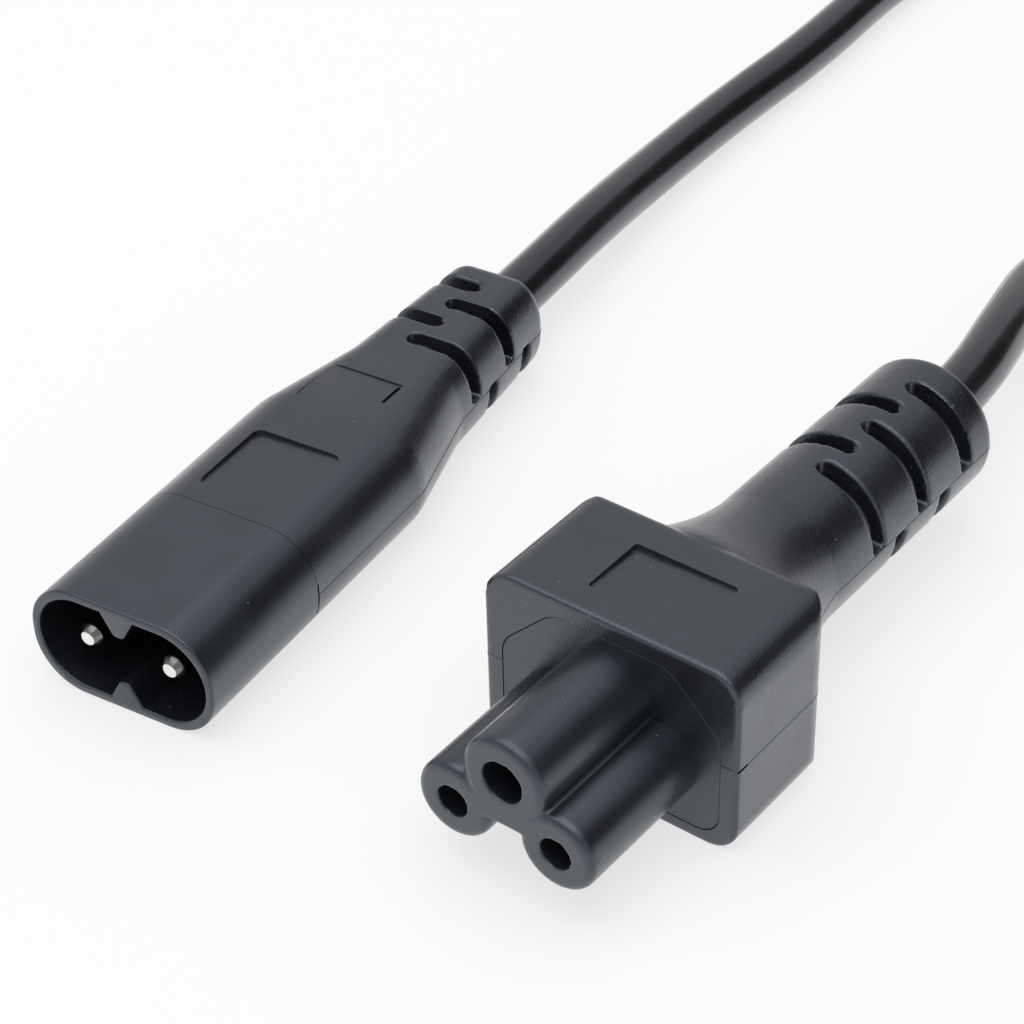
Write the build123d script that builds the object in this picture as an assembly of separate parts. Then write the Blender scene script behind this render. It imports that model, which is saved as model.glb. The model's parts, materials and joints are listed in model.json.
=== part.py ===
"""A short mains lead: a cloverleaf connector and a two-pin inlet plug, joined by a round two-core cord.

Both ends lie on the floor, Z = 0. The origin is the middle of the cloverleaf body's underside,
+Y runs from its nose towards its cord, and +X is to the right of someone who looks along +Y.
Each connector is drawn in a frame of its own, with y from its mating face back to its cord.
"""

import math
import os

from build123d import *

# Cloverleaf connector: its nose and the contacts in it
LINE_NEUTRAL_SPACING = 10.0
EARTH_RISE = 4.65
LINE_LOBE_RADIUS = 3.55
EARTH_LOBE_RADIUS = 4.0
NOSE_LENGTH = 13.9
NOSE_EDGE = 0.55
NOTCH_TOP = 0.3
LINE_HOLE_RADIUS = 1.43
EARTH_HOLE_RADIUS = 1.88
EARTH_HOLE_DEPTH = 11.5
ENTRY_LENGTH = 3.0
CONTACT_RADIUS = 1.8
CONTACT_GRIP_RADIUS = 1.22
CONTACT_CLEARANCE = 0.04
CONTACT_SLIT = 0.45
CONTACT_SLEEVE = 9.5
CONTACT_WEB = 2.0
CRIMP_LENGTH = 5.0

# The flange of the hard carrier, shaped like the end of a house
FLANGE_HALF_WIDTH = 10.7
FLANGE_BOTTOM = -5.75
FLANGE_TOP = 9.3
FLANGE_CUT = 5.1
FLANGE_BOTTOM_RADIUS = 2.2
FLANGE_THICKNESS = 2.6
FLANGE_SEAM = 0.1

# The soft body round the carrier
BODY_WIDTH = 24.8
BODY_HEIGHT = 18.1
BODY_LENGTH = 13.7
BODY_DROP = 7.0
BODY_TOP_CORNER = 2.1
BODY_BOTTOM_CORNER = 2.8
BODY_FRONT_EDGE = 0.35
BODY_BACK_EDGE = 1.2
NECK_END = 39.0
FLARE_RADIUS = 9.0
LABEL_WIDTH = 10.0
LABEL_LENGTH = 6.7
LABEL_BACK_MARGIN = 4.1
LABEL_CORNER = 0.3
LABEL_DEEP = 0.42
LABEL_SHALLOW = 0.06

# Strain relief of the cloverleaf connector
RELIEF_RADIUS = 6.6
RELIEF_END = 63.6
RELIEF_EDGE = 1.1
RELIEF_CORE_RADIUS = 4.3
SLOT_FIRST = 44.1
SLOT_PITCH = 3.66
SLOT_COUNT = 5
SLOT_WIDTH = 1.75
SLOT_PAST_MIDDLE = 0.7
SLOT_ABOVE_SEAM = 0.4

# Two-pin plug: hard front shell with a recess, and two pins
SHELL_WIDTH = 18.8
SHELL_HEIGHT = 10.9
SHELL_CORNER = 4.95
SHELL_LENGTH = 15.7
RECESS_WIDTH = 17.3
RECESS_HEIGHT = 9.2
RECESS_DEPTH = 11.5
RECESS_RIDGE_TIP = 2.45
RECESS_RIDGE_FOOT = 3.1
RECESS_RIDGE_ROUND = 0.5
RIM_EDGE = 0.3
SHELL_TAIL_WIDTH = 14.0
SHELL_TAIL_HEIGHT = 6.4
SHELL_TAIL_CORNER = 1.6
SHELL_TAIL_LENGTH = 5.8
SEAM_GROOVE = 0.1
PIN_SPACING = 8.6
PIN_RADIUS = 1.2
PIN_BELOW_RIM = 0.9
PIN_TIP = 0.5
PIN_CRIMP_START = 22.5
PIN_SHANK_RADIUS = 1.5

# Soft body, taper and strain relief of the two-pin plug
SHOULDER_END = 33.0
TAPER_END = 44.0
TAPER_WIDTH = 13.2
TAPER_HEIGHT = 10.2
PLUG_END = 61.2
PLUG_END_WIDTH = 10.8
PLUG_END_HEIGHT = 9.8
PLUG_CORNER = 3.7
PLUG_EDGE = 1.0
PLUG_SLOT_FIRST = 47.1
PLUG_SLOT_PITCH = 3.46
PLUG_SLOT_COUNT = 4
PLUG_SLOT_WIDTH = 1.75
PLUG_SLOT_PAST_MIDDLE = 0.6
PLUG_CORE_RADIUS = 3.6
PLUG_LABEL_WIDTH = 9.2
PLUG_LABEL_LENGTH = 9.3
PLUG_LABEL_CORNER = 0.9
PLUG_LABEL_END = 27.3
SMALL_LABEL_X = -0.75
SMALL_LABEL_WIDTH = 7.9
SMALL_LABEL_LENGTH = 6.2
SMALL_LABEL_END = 39.6
SMALL_LABEL_DEEP = 0.3

# The cord and its two cores, one above the other
CORD_DIAMETER = 5.4
CORE_DIAMETER = 2.2
CORE_APART = 2.3
CONDUCTOR_DIAMETER = 1.1
CORE_BEND_RADIUS = 4.0
CORE_STRAIGHT = 2.4
CORE_LEVEL = 3.0
JACKET_START = 34.0
PLUG_JACKET_START = 40.5
STRIPPED = 0.4

# Where the two-pin plug lies beside the cloverleaf connector
PLUG_X = -39.2
PLUG_Y = -22.55
PLUG_YAW = 6.74

# The cord's free route between the two strain reliefs, from the plug round to the connector
ROUTE = [
    (-49.0, 57.5, 5.2),
    (-51.5, 72.5, 3.6),
    (-53.1, 89.0, 2.8),
    (-53.2, 107.0, 2.8),
    (-55.2, 126.5, 2.8),
    (-53.8, 146.0, 2.8),
    (-43.2, 161.7, 2.8),
    (-26.0, 169.7, 2.8),
    (-7.1, 167.7, 2.8),
    (7.6, 156.0, 2.8),
    (13.6, 138.4, 2.8),
    (8.8, 119.8, 2.8),
    (0.4, 104.2, 2.8),
    (-5.2, 88.8, 3.6),
    (-6.0, 74.6, 6.0),
    (-2.7, 61.8, 8.4),
]
EXIT_STRAIGHT = 7.0
ROUND_SHARE = 0.45

# Values that follow from those above
HALF_SPACING = LINE_NEUTRAL_SPACING / 2
HALF_PINS = PIN_SPACING / 2
AXIS_HEIGHT = BODY_HEIGHT / 2 - BODY_DROP
BODY_BACK = NOSE_LENGTH + BODY_LENGTH
BODY_TOP = BODY_HEIGHT - BODY_DROP
CONTACT_START = ENTRY_LENGTH
CRIMP_START = CONTACT_START + CONTACT_SLEEVE + CONTACT_WEB
CRIMP_END = CRIMP_START + CRIMP_LENGTH
PIN_CRIMP_END = PIN_CRIMP_START + CRIMP_LENGTH
CORD_RADIUS = CORD_DIAMETER / 2
CORE_RADIUS = CORE_DIAMETER / 2
CONDUCTOR_RADIUS = CONDUCTOR_DIAMETER / 2

CONNECTOR_PLACE = Location((0, -NOSE_LENGTH - BODY_LENGTH / 2, BODY_DROP))
PLUG_PLACE = Location((PLUG_X, PLUG_Y, SHELL_HEIGHT / 2), (0, 0, PLUG_YAW))


def section(y):
    """A plane across the connector at y, with x to the right and its own y upwards."""
    return Plane(origin=(0, y, 0), x_dir=(1, 0, 0), z_dir=(0, -1, 0))


def run_back(sketch, start, end):
    """A sketch drawn across the connector, extruded from start back to end."""
    return extrude(section(start) * sketch, amount=start - end)


def rod(x, z, radius, start, end):
    """A round bar along the connector."""
    return run_back(Pos(x, z) * Circle(radius), start, end)


def slot_cutter(side, up, tip, middle, width, core_radius, axis_height):
    """One strain-relief slot as the mould makes it: open to one side, and pulled straight up or down.

    It starts at tip past the middle, runs out through that side, and stops at a core round the cord.
    """
    reach = 3 * core_radius
    left = min(tip * -side, side * reach)
    right = max(tip * -side, side * reach)
    round_x = -side * (tip - width / 2)
    plan = Pos((left + right) / 2 + side * width / 4, middle)
    plan *= Rectangle(right - left - width / 2, width)
    plan += Pos(round_x, middle) * Circle(width / 2)
    base = Plane.XY.offset(axis_height + up * SLOT_ABOVE_SEAM)
    cut = extrude(base * plan, amount=up * reach)
    return cut - rod(0, axis_height, core_radius, middle - width, middle + width)


def relief_slots(first, pitch, count, width, tip, core_radius, axis_height):
    """Slots that step along the relief and change sides, with the underside turned half round."""
    cutters = []
    for step in range(count):
        side = 1 if step % 2 == 0 else -1
        middle = first + step * pitch
        cutters.append(slot_cutter(side, 1, tip, middle, width, core_radius, axis_height))
        cutters.append(slot_cutter(-side, -1, tip, middle, width, core_radius, axis_height))
    return cutters


def label_pocket(width, length, corner, deep):
    """A label's place under z = 0: sunk at its left and back edges and almost level at the others."""
    plate = extrude(Plane.XY.offset(-deep) * RectangleRounded(width, length, corner), amount=2 * deep)
    roll = math.degrees(math.atan((deep - LABEL_SHALLOW) / (2 * width)))
    pitch = math.degrees(math.atan((deep - LABEL_SHALLOW) / (2 * length)))
    floor = Box(3 * width, 3 * length, 4 * deep, align=(Align.CENTER, Align.CENTER, Align.MAX))
    return plate - Pos(0, 0, -(deep + LABEL_SHALLOW) / 2) * Rot(-pitch, -roll, 0) * floor


def clover_profile():
    """Three round lobes run together, with the notch under the earth lobe."""
    lobes = Pos(-HALF_SPACING, 0) * Circle(LINE_LOBE_RADIUS)
    lobes += Pos(HALF_SPACING, 0) * Circle(LINE_LOBE_RADIUS)
    lobes += Pos(0, EARTH_RISE) * Circle(EARTH_LOBE_RADIUS)
    corners = [(-HALF_SPACING, NOTCH_TOP), (HALF_SPACING, NOTCH_TOP), (0, EARTH_RISE)]
    web = make_face(Polyline(*corners, close=True))
    return lobes + web


def flange_profile():
    """Upright sides, cut top corners and rounded bottom corners."""
    w, b, t, c = FLANGE_HALF_WIDTH, FLANGE_BOTTOM, FLANGE_TOP, FLANGE_CUT
    outline = Polyline((-w, b), (w, b), (w, t - c), (w - c, t), (c - w, t), (-w, t - c), close=True)
    face = make_face(outline)
    return fillet(face.vertices().sort_by(Axis.Y)[:2], FLANGE_BOTTOM_RADIUS)


def socket_contact(x):
    """A slit spring sleeve that grips the pin, and a crimp barrel behind it."""
    sleeve_end = CONTACT_START + CONTACT_SLEEVE
    body = rod(x, 0, CONTACT_RADIUS, CONTACT_START, CRIMP_END)
    body -= rod(x, 0, CONTACT_GRIP_RADIUS, CONTACT_START, sleeve_end)
    body -= rod(x, 0, CONDUCTOR_RADIUS, CRIMP_START, CRIMP_END)
    slit = Box(CONTACT_SLIT, CONTACT_SLEEVE, CONTACT_RADIUS, align=(Align.CENTER, Align.MIN, Align.MIN))
    return body - Pos(x, CONTACT_START, CONTACT_GRIP_RADIUS / 2) * slit


def carrier_form():
    """The carrier before it is bored: the nose, the flange and the tail inside the body."""
    nose = run_back(clover_profile(), 0, CRIMP_END)
    flange = run_back(flange_profile(), NOSE_LENGTH, NOSE_LENGTH + FLANGE_THICKNESS)
    return nose + flange


def cloverleaf_carrier():
    """The hard piece, with rounded nose and flange edges, two contact holes and the blind earth hole."""
    nose = run_back(clover_profile(), 0, CRIMP_END)
    nose = fillet(nose.faces().sort_by(Axis.Y)[0].edges(), NOSE_EDGE)
    flange = run_back(flange_profile(), NOSE_LENGTH, NOSE_LENGTH + FLANGE_THICKNESS)
    flange = chamfer(flange.faces().sort_by(Axis.Y)[0].edges(), FLANGE_SEAM)
    carrier = nose + flange
    for x in (-HALF_SPACING, HALF_SPACING):
        carrier -= rod(x, 0, LINE_HOLE_RADIUS, 0, ENTRY_LENGTH)
        carrier -= rod(x, 0, CONTACT_RADIUS + CONTACT_CLEARANCE, ENTRY_LENGTH, CRIMP_END)
    return carrier - rod(0, EARTH_RISE, EARTH_HOLE_RADIUS, 0, EARTH_HOLE_DEPTH)


def body_block():
    """The square body, with smaller corners on top than underneath."""
    outline = Pos(0, BODY_HEIGHT / 2 - BODY_DROP) * Rectangle(BODY_WIDTH, BODY_HEIGHT)
    outline = fillet(outline.vertices().sort_by(Axis.Y)[2:], BODY_TOP_CORNER)
    outline = fillet(outline.vertices().sort_by(Axis.Y)[:2], BODY_BOTTOM_CORNER)
    block = run_back(outline, NOSE_LENGTH, BODY_BACK)
    block = fillet(block.faces().sort_by(Axis.Y)[-1].edges(), BODY_BACK_EDGE)
    return fillet(block.faces().sort_by(Axis.Y)[0].edges(), BODY_FRONT_EDGE)


def neck_and_relief():
    """A hollow-sided flare off the body's back that runs out into the round strain relief, all turned."""
    start = BODY_BACK - BODY_BACK_EDGE
    rise = FLARE_RADIUS - RELIEF_RADIUS
    run = NECK_END - start
    sweep_radius = (run * run + rise * rise) / (2 * rise)
    half = math.asin(run / sweep_radius) / 2
    middle_r = RELIEF_RADIUS + sweep_radius * (1 - math.cos(half))
    middle_y = NECK_END - sweep_radius * math.sin(half)
    flare = ThreePointArc((FLARE_RADIUS, start), (middle_r, middle_y), (RELIEF_RADIUS, NECK_END))
    rest = Polyline(
        (RELIEF_RADIUS, NECK_END),
        (RELIEF_RADIUS, RELIEF_END),
        (0, RELIEF_END),
        (0, start),
        (FLARE_RADIUS, start),
    )
    profile = Plane.XY.offset(AXIS_HEIGHT) * make_face(flare + rest)
    turned = revolve(profile, Axis((0, 0, AXIS_HEIGHT), (0, 1, 0)))
    return fillet(turned.edges().sort_by(Axis.Y)[-1], RELIEF_EDGE)


def cloverleaf_overmould(held):
    """The soft moulding: body, neck and strain relief, less the carrier and everything else it holds."""
    soft = body_block() + neck_and_relief()
    slots = (SLOT_FIRST, SLOT_PITCH, SLOT_COUNT, SLOT_WIDTH, SLOT_PAST_MIDDLE)
    for cutter in relief_slots(*slots, RELIEF_CORE_RADIUS, AXIS_HEIGHT):
        soft -= cutter
    label = label_pocket(LABEL_WIDTH, LABEL_LENGTH, LABEL_CORNER, LABEL_DEEP)
    soft -= Pos(0, BODY_BACK - LABEL_BACK_MARGIN - LABEL_LENGTH / 2, BODY_TOP) * label
    for piece in [carrier_form(), *held]:
        soft -= piece
    return soft


def recess_profile():
    """The plug's recess: a long round-ended hollow pinched in the middle by two ridges."""
    foot = Line((-RECESS_RIDGE_FOOT / 2, SHELL_HEIGHT / 2), (RECESS_RIDGE_FOOT / 2, SHELL_HEIGHT / 2))
    tip = Pos(0, RECESS_RIDGE_TIP + RECESS_RIDGE_ROUND) * Circle(RECESS_RIDGE_ROUND)
    ridge = make_hull([foot, *tip.edges()])
    return SlotOverall(RECESS_WIDTH, RECESS_HEIGHT) - ridge - mirror(ridge, Plane.XZ)


def pin(x):
    """A round pin with a cut tip, on a thicker shank whose end is a crimp barrel for the conductor."""
    shaft = rod(x, 0, PIN_RADIUS, PIN_BELOW_RIM, RECESS_DEPTH)
    shaft = chamfer(shaft.faces().sort_by(Axis.Y)[0].edges(), PIN_TIP)
    shank = rod(x, 0, PIN_SHANK_RADIUS, RECESS_DEPTH, PIN_CRIMP_END)
    return shaft + shank - rod(x, 0, CONDUCTOR_RADIUS, PIN_CRIMP_START, PIN_CRIMP_END)


def shell_form():
    """The hard front piece before it is hollowed, with its tail inside the soft body."""
    front = run_back(RectangleRounded(SHELL_WIDTH, SHELL_HEIGHT, SHELL_CORNER), 0, SHELL_LENGTH)
    tail = RectangleRounded(SHELL_TAIL_WIDTH, SHELL_TAIL_HEIGHT, SHELL_TAIL_CORNER)
    return front, run_back(tail, SHELL_LENGTH, SHELL_LENGTH + SHELL_TAIL_LENGTH)


def plug_shell(pins):
    """The shroud with its recess, and the floor and tail that carry the pins."""
    front, tail = shell_form()
    front = fillet(front.faces().sort_by(Axis.Y)[0].edges(), RIM_EDGE)
    front = chamfer(front.faces().sort_by(Axis.Y)[-1].edges(), SEAM_GROOVE)
    shell = front - run_back(recess_profile(), 0, RECESS_DEPTH) + tail
    for piece in pins:
        shell -= piece
    return shell


def plug_labels():
    """The plug's two label places: one on the level top, and a turned-round one on the taper behind it."""
    top = SHELL_HEIGHT / 2
    slope = (SHELL_HEIGHT - TAPER_HEIGHT) / 2 / (TAPER_END - SHOULDER_END)
    middle = SMALL_LABEL_END - SMALL_LABEL_LENGTH / 2
    large = label_pocket(PLUG_LABEL_WIDTH, PLUG_LABEL_LENGTH, PLUG_LABEL_CORNER, LABEL_DEEP)
    small = label_pocket(SMALL_LABEL_WIDTH, SMALL_LABEL_LENGTH, LABEL_CORNER, SMALL_LABEL_DEEP)
    small = Rot(-math.degrees(math.atan(slope)), 0, 0) * mirror(small, Plane.YZ)
    return [
        Pos(0, PLUG_LABEL_END - PLUG_LABEL_LENGTH / 2, top) * large,
        Pos(SMALL_LABEL_X, middle, top - slope * (middle - SHOULDER_END)) * small,
    ]


def plug_overmould(held):
    """The soft moulding of the plug: body, shoulders, taper and strain relief, less what it holds."""
    outline = RectangleRounded(SHELL_WIDTH, SHELL_HEIGHT, SHELL_CORNER)
    waist = RectangleRounded(TAPER_WIDTH, TAPER_HEIGHT, PLUG_CORNER)
    end = RectangleRounded(PLUG_END_WIDTH, PLUG_END_HEIGHT, PLUG_CORNER)
    soft = run_back(outline, SHELL_LENGTH, SHOULDER_END)
    soft = chamfer(soft.faces().sort_by(Axis.Y)[0].edges(), SEAM_GROOVE)
    soft += loft([section(SHOULDER_END) * outline, section(TAPER_END) * waist], ruled=True)
    relief = loft([section(TAPER_END) * waist, section(PLUG_END) * end], ruled=True)
    soft += fillet(relief.faces().sort_by(Axis.Y)[-1].edges(), PLUG_EDGE)
    slots = (PLUG_SLOT_FIRST, PLUG_SLOT_PITCH, PLUG_SLOT_COUNT, PLUG_SLOT_WIDTH, PLUG_SLOT_PAST_MIDDLE)
    for cutter in relief_slots(*slots, PLUG_CORE_RADIUS, 0):
        soft -= cutter
    for label in plug_labels():
        soft -= label
    for piece in [shell_form()[1], *held]:
        soft -= piece
    return soft


def in_row(place, point):
    """A point of a connector's own frame, in the part's frame."""
    return (place * Pos(*point)).position


def arc_radii(points):
    """For each corner of a route, the largest arc that its two runs allow, less a margin."""
    radii = []
    for before, corner, after in zip(points, points[1:], points[2:]):
        into = corner - before
        out = after - corner
        turn = math.radians(into.get_angle(out))
        radii.append(ROUND_SHARE * min(into.length, out.length) / math.tan(turn / 2))
    return radii


def tube(path, radius):
    """A solid round bar along a path."""
    return sweep(Plane(origin=path @ 0, z_dir=path % 0) * Circle(radius), path=path)


def free_points(shift=0.0):
    """The cord's corners between the two strain reliefs, raised by shift."""
    plug_side = in_row(PLUG_PLACE, (0, PLUG_END + EXIT_STRAIGHT, shift))
    connector_side = in_row(CONNECTOR_PLACE, (0, RELIEF_END + EXIT_STRAIGHT, AXIS_HEIGHT + shift))
    return [plug_side, *[Vector(x, y, z + shift) for x, y, z in ROUTE], connector_side]


def cord_bar():
    """The whole cord as one bar: its free run, and a straight stub inside each strain relief."""
    plug_exit = in_row(PLUG_PLACE, (0, PLUG_END, 0))
    connector_exit = in_row(CONNECTOR_PLACE, (0, RELIEF_END, AXIS_HEIGHT))
    points = [plug_exit, *free_points(), connector_exit]
    radii = arc_radii(points)
    path = FilletPolyline(*points, radius=radii)
    bar = tube(path, CORD_RADIUS)
    print("cord arcs, mm:", [round(radius, 1) for radius in radii])
    print("free cord, mm:", round(path.length, 1))
    plain_volume = math.pi * CORD_RADIUS**2 * path.length
    print("its volume over section times length:", round(bar.volume / plain_volume, 5))
    bar += PLUG_PLACE * rod(0, 0, CORD_RADIUS, PLUG_JACKET_START, PLUG_END)
    bar += CONNECTOR_PLACE * rod(0, AXIS_HEIGHT, CORD_RADIUS, JACKET_START, RELIEF_END)
    return bar, radii


def core_bar(side, radius, lead, free_radii):
    """A core or its conductor, from the plug's crimp along the cord to the connector's crimp.

    The right-hand pin's core lies over the other one. lead is how far it reaches into each crimp.
    """
    shift = side * CORE_APART / 2
    plug_x = side * HALF_PINS
    contact_x = side * HALF_SPACING
    plug_side = [
        in_row(PLUG_PLACE, (plug_x, PIN_CRIMP_END - lead, 0)),
        in_row(PLUG_PLACE, (plug_x, PIN_CRIMP_END + CORE_STRAIGHT, 0)),
        in_row(PLUG_PLACE, (0, PLUG_JACKET_START - CORE_LEVEL, shift)),
    ]
    connector_side = [
        in_row(CONNECTOR_PLACE, (0, JACKET_START - CORE_LEVEL, AXIS_HEIGHT + shift)),
        in_row(CONNECTOR_PLACE, (contact_x, CRIMP_END + CORE_STRAIGHT, 0)),
        in_row(CONNECTOR_PLACE, (contact_x, CRIMP_END - lead, 0)),
    ]
    points = [*plug_side, *free_points(shift), *connector_side]
    radii = [CORE_BEND_RADIUS] * 2 + free_radii + [CORE_BEND_RADIUS] * 2
    return tube(FilletPolyline(*points, radius=radii), radius)


def build_cord():
    """The jacket, and the insulation and conductor of both cores."""
    jacket, free_radii = cord_bar()
    pieces = {}
    for name, side in (("line", 1), ("neutral", -1)):
        core = core_bar(side, CORE_RADIUS, -STRIPPED, free_radii)
        conductor = core_bar(side, CONDUCTOR_RADIUS, CRIMP_LENGTH, free_radii)
        jacket -= core
        pieces[f"{name}_core_insulation"] = core - conductor
        pieces[f"{name}_conductor"] = conductor
    return {"cord_jacket": jacket, **pieces}


def build():
    """Every piece, by its name, in the part's frame."""
    cord = build_cord()
    contacts = {
        "line_socket_contact": socket_contact(HALF_SPACING),
        "neutral_socket_contact": socket_contact(-HALF_SPACING),
    }
    pins = {"line_pin": pin(HALF_PINS), "neutral_pin": pin(-HALF_PINS)}
    in_connector = [CONNECTOR_PLACE.inverse() * piece for piece in cord.values()]
    in_plug = [PLUG_PLACE.inverse() * piece for piece in cord.values()]
    connector = {
        "cloverleaf_carrier": cloverleaf_carrier(),
        "cloverleaf_overmould": cloverleaf_overmould(in_connector),
        **contacts,
    }
    plug = {
        "plug_shell": plug_shell(pins.values()),
        "plug_overmould": plug_overmould([*pins.values(), *in_plug]),
        **pins,
    }
    pieces = {name: CONNECTOR_PLACE * piece for name, piece in connector.items()}
    pieces.update({name: PLUG_PLACE * piece for name, piece in plug.items()})
    return {**pieces, **cord}


def main():
    os.makedirs("parts", exist_ok=True)
    for name, piece in build().items():
        solids = piece.solids()
        print(name, len(solids), "solid,", round(piece.volume, 2), "mm3")
        export_step(solids[0] if len(solids) == 1 else Compound(children=solids), f"parts/{name}.step")


main()
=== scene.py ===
# %% [markdown]
# # A short mains lead, dressed for its picture
# The lead has a cloverleaf connector at one end, a two-pin plug at the other, and a round cord
# between them. Its construction comes packed as a fixed frame, in metres. Here each moulding is
# modelled again with soft edges, seams and slots, and every surface gets its finish.

# %% Load the frame
import json
import math

import bmesh
import bpy
from mathutils import Matrix, Vector

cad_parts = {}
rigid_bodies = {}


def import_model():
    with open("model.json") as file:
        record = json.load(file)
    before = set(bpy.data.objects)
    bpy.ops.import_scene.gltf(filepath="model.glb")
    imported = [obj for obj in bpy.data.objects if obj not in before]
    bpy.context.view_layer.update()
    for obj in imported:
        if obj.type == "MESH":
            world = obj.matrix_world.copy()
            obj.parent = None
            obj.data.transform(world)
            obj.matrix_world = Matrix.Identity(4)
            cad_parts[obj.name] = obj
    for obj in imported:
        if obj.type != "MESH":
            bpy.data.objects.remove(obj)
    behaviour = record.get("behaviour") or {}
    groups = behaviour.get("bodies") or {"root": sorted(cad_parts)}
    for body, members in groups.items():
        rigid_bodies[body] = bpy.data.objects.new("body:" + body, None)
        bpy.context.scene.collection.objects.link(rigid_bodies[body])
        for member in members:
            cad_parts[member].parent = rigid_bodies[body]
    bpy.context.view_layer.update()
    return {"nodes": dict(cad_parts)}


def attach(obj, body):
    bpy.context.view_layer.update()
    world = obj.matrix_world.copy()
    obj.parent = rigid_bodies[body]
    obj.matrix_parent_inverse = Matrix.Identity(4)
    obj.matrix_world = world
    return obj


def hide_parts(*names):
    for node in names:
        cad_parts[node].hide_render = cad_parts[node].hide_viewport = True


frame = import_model()
print("nodes:", sorted(frame["nodes"]))

# %% [markdown]
# ## Units and places
# The lead was measured in millimetres. Each connector is modelled in millimetres in a frame of its own,
# with x to its right, y from its mating face back to its cord and z up. One matrix then turns it into
# metres and takes it to its place on the table.

# %% Units and the two places
MM = 0.001
NOSE_LENGTH = 13.9
BODY_LENGTH = 13.7
BODY_BACK = NOSE_LENGTH + BODY_LENGTH
BODY_DROP = 7.0
SHELL_HEIGHT = 10.9
PLUG_SPOT = (-39.2, -22.55, SHELL_HEIGHT / 2)
PLUG_YAW = math.radians(6.74)

to_metres = Matrix.Scale(MM, 4)
CONNECTOR_PLACE = to_metres @ Matrix.Translation((0, -NOSE_LENGTH - BODY_LENGTH / 2, BODY_DROP))
PLUG_PLACE = to_metres @ Matrix.Translation(PLUG_SPOT) @ Matrix.Rotation(PLUG_YAW, 4, "Z")
print("connector's nose at", CONNECTOR_PLACE.translation, "plug's rim at", PLUG_PLACE.translation)

# %% [markdown]
# ## Camera
# The photograph was taken with a long lens, from in front and to the right, looking down. The three
# directions say where the picture's right, its bottom and its depth point in the room. A camera in
# Blender looks along its own -Z with +Y upwards, so two of them change sign.

# %% Camera
LENS = 98.44
SENSOR = 36.0
CAMERA_SPOT = Vector((98.92, -142.89, 156.91)) * MM
RIGHT = Vector((0.7926, 0.6093, -0.0218))
DOWN = Vector((0.355, -0.4902, -0.7961))
AHEAD = Vector((-0.4958, 0.6232, -0.6048))

bpy.ops.object.select_all(action="DESELECT")
bpy.ops.object.camera_add(location=CAMERA_SPOT)
camera = bpy.context.object
camera.name = "camera"
turn = Matrix((RIGHT, -DOWN, -AHEAD)).transposed().to_4x4()
camera.matrix_world = Matrix.Translation(CAMERA_SPOT) @ turn
camera.data.lens = LENS
camera.data.sensor_width = SENSOR
camera.data.clip_start = 0.01
bpy.context.scene.camera = camera
print("camera looks along", AHEAD)

# %% [markdown]
# ## Cord
# A mains lead is stiff: it leaves each strain relief straight, comes down to the table, and lies in one
# loose loop. A NURBS spline with few control points bends like that by itself. Its order is set after
# its points are added, because set before it would fall back to straight runs. Both ends start a little
# way inside the strain reliefs, where a small hollow shows the sheath going in.

# %% Cord
CORD_RADIUS = 2.7
PLUG_END = 61.2
CONNECTOR_END = 63.6
CONNECTOR_AXIS = 2.05
EXIT_STRAIGHT = 7.0
CORD_SUNK = 1.6
ROUTE = [
    (-49.0, 57.5, 5.2),
    (-51.5, 72.5, 3.6),
    (-53.1, 89.0, 2.8),
    (-53.2, 107.0, 2.8),
    (-55.2, 126.5, 2.8),
    (-53.8, 146.0, 2.8),
    (-43.2, 161.7, 2.8),
    (-26.0, 169.7, 2.8),
    (-7.1, 167.7, 2.8),
    (7.6, 156.0, 2.8),
    (13.6, 138.4, 2.8),
    (8.8, 119.8, 2.8),
    (0.4, 104.2, 2.8),
    (-5.2, 88.8, 3.6),
    (-6.0, 74.6, 6.0),
    (-2.7, 61.8, 8.4),
]


def cord_line():
    """The cord's control points in metres, from the plug's strain relief round to the connector's."""
    plug_side = [
        PLUG_PLACE @ Vector((0, PLUG_END + step, 0))
        for step in (-CORD_SUNK, EXIT_STRAIGHT)
    ]
    connector_side = [
        CONNECTOR_PLACE @ Vector((0, CONNECTOR_END + step, CONNECTOR_AXIS))
        for step in (EXIT_STRAIGHT, -CORD_SUNK)
    ]
    return [*plug_side, *[Vector(point) * MM for point in ROUTE], *connector_side]


def make_cord(name, points, radius):
    """A round cord along one smooth NURBS curve."""
    curve = bpy.data.curves.new(name, "CURVE")
    curve.dimensions = "3D"
    curve.bevel_depth = radius
    curve.bevel_resolution = 12
    curve.resolution_u = 16
    curve.use_fill_caps = True
    spline = curve.splines.new("NURBS")
    spline.points.add(len(points) - 1)
    for point, spot in zip(spline.points, points):
        point.co = (*spot, 1)
    spline.order_u = 3
    spline.use_endpoint_u = True
    cord = bpy.data.objects.new(name, curve)
    bpy.context.scene.collection.objects.link(cord)
    return cord


cord_points = cord_line()
cord = make_cord("power_cord", cord_points, CORD_RADIUS * MM)
cores = ("line_core_insulation", "line_conductor", "neutral_core_insulation", "neutral_conductor")
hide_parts("cord_jacket", *cores)
print("cord control points:", len(cord_points))

# %% [markdown]
# ## Modelling by hand, in code
# Every moulding below starts as a primitive of the right size. It is opened for editing, the edges or
# faces that matter are selected by where they lie, and an operator works on that selection. These few
# helpers keep the later cells short: they say what is selected and what is done, and nothing else.

# %% Selecting by place
NEAR = 0.01


def middle(part):
    """The middle of a vertex, an edge or a face."""
    corners = [part] if isinstance(part, bmesh.types.BMVert) else list(part.verts)
    return sum((corner.co for corner in corners), Vector()) / len(corners)


def runs_along(edge, axis):
    """Whether an edge runs along one axis: 0 for x, 1 for y, 2 for z."""
    way = (edge.verts[1].co - edge.verts[0].co).normalized()
    return abs(way[axis]) > 0.999


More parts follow.
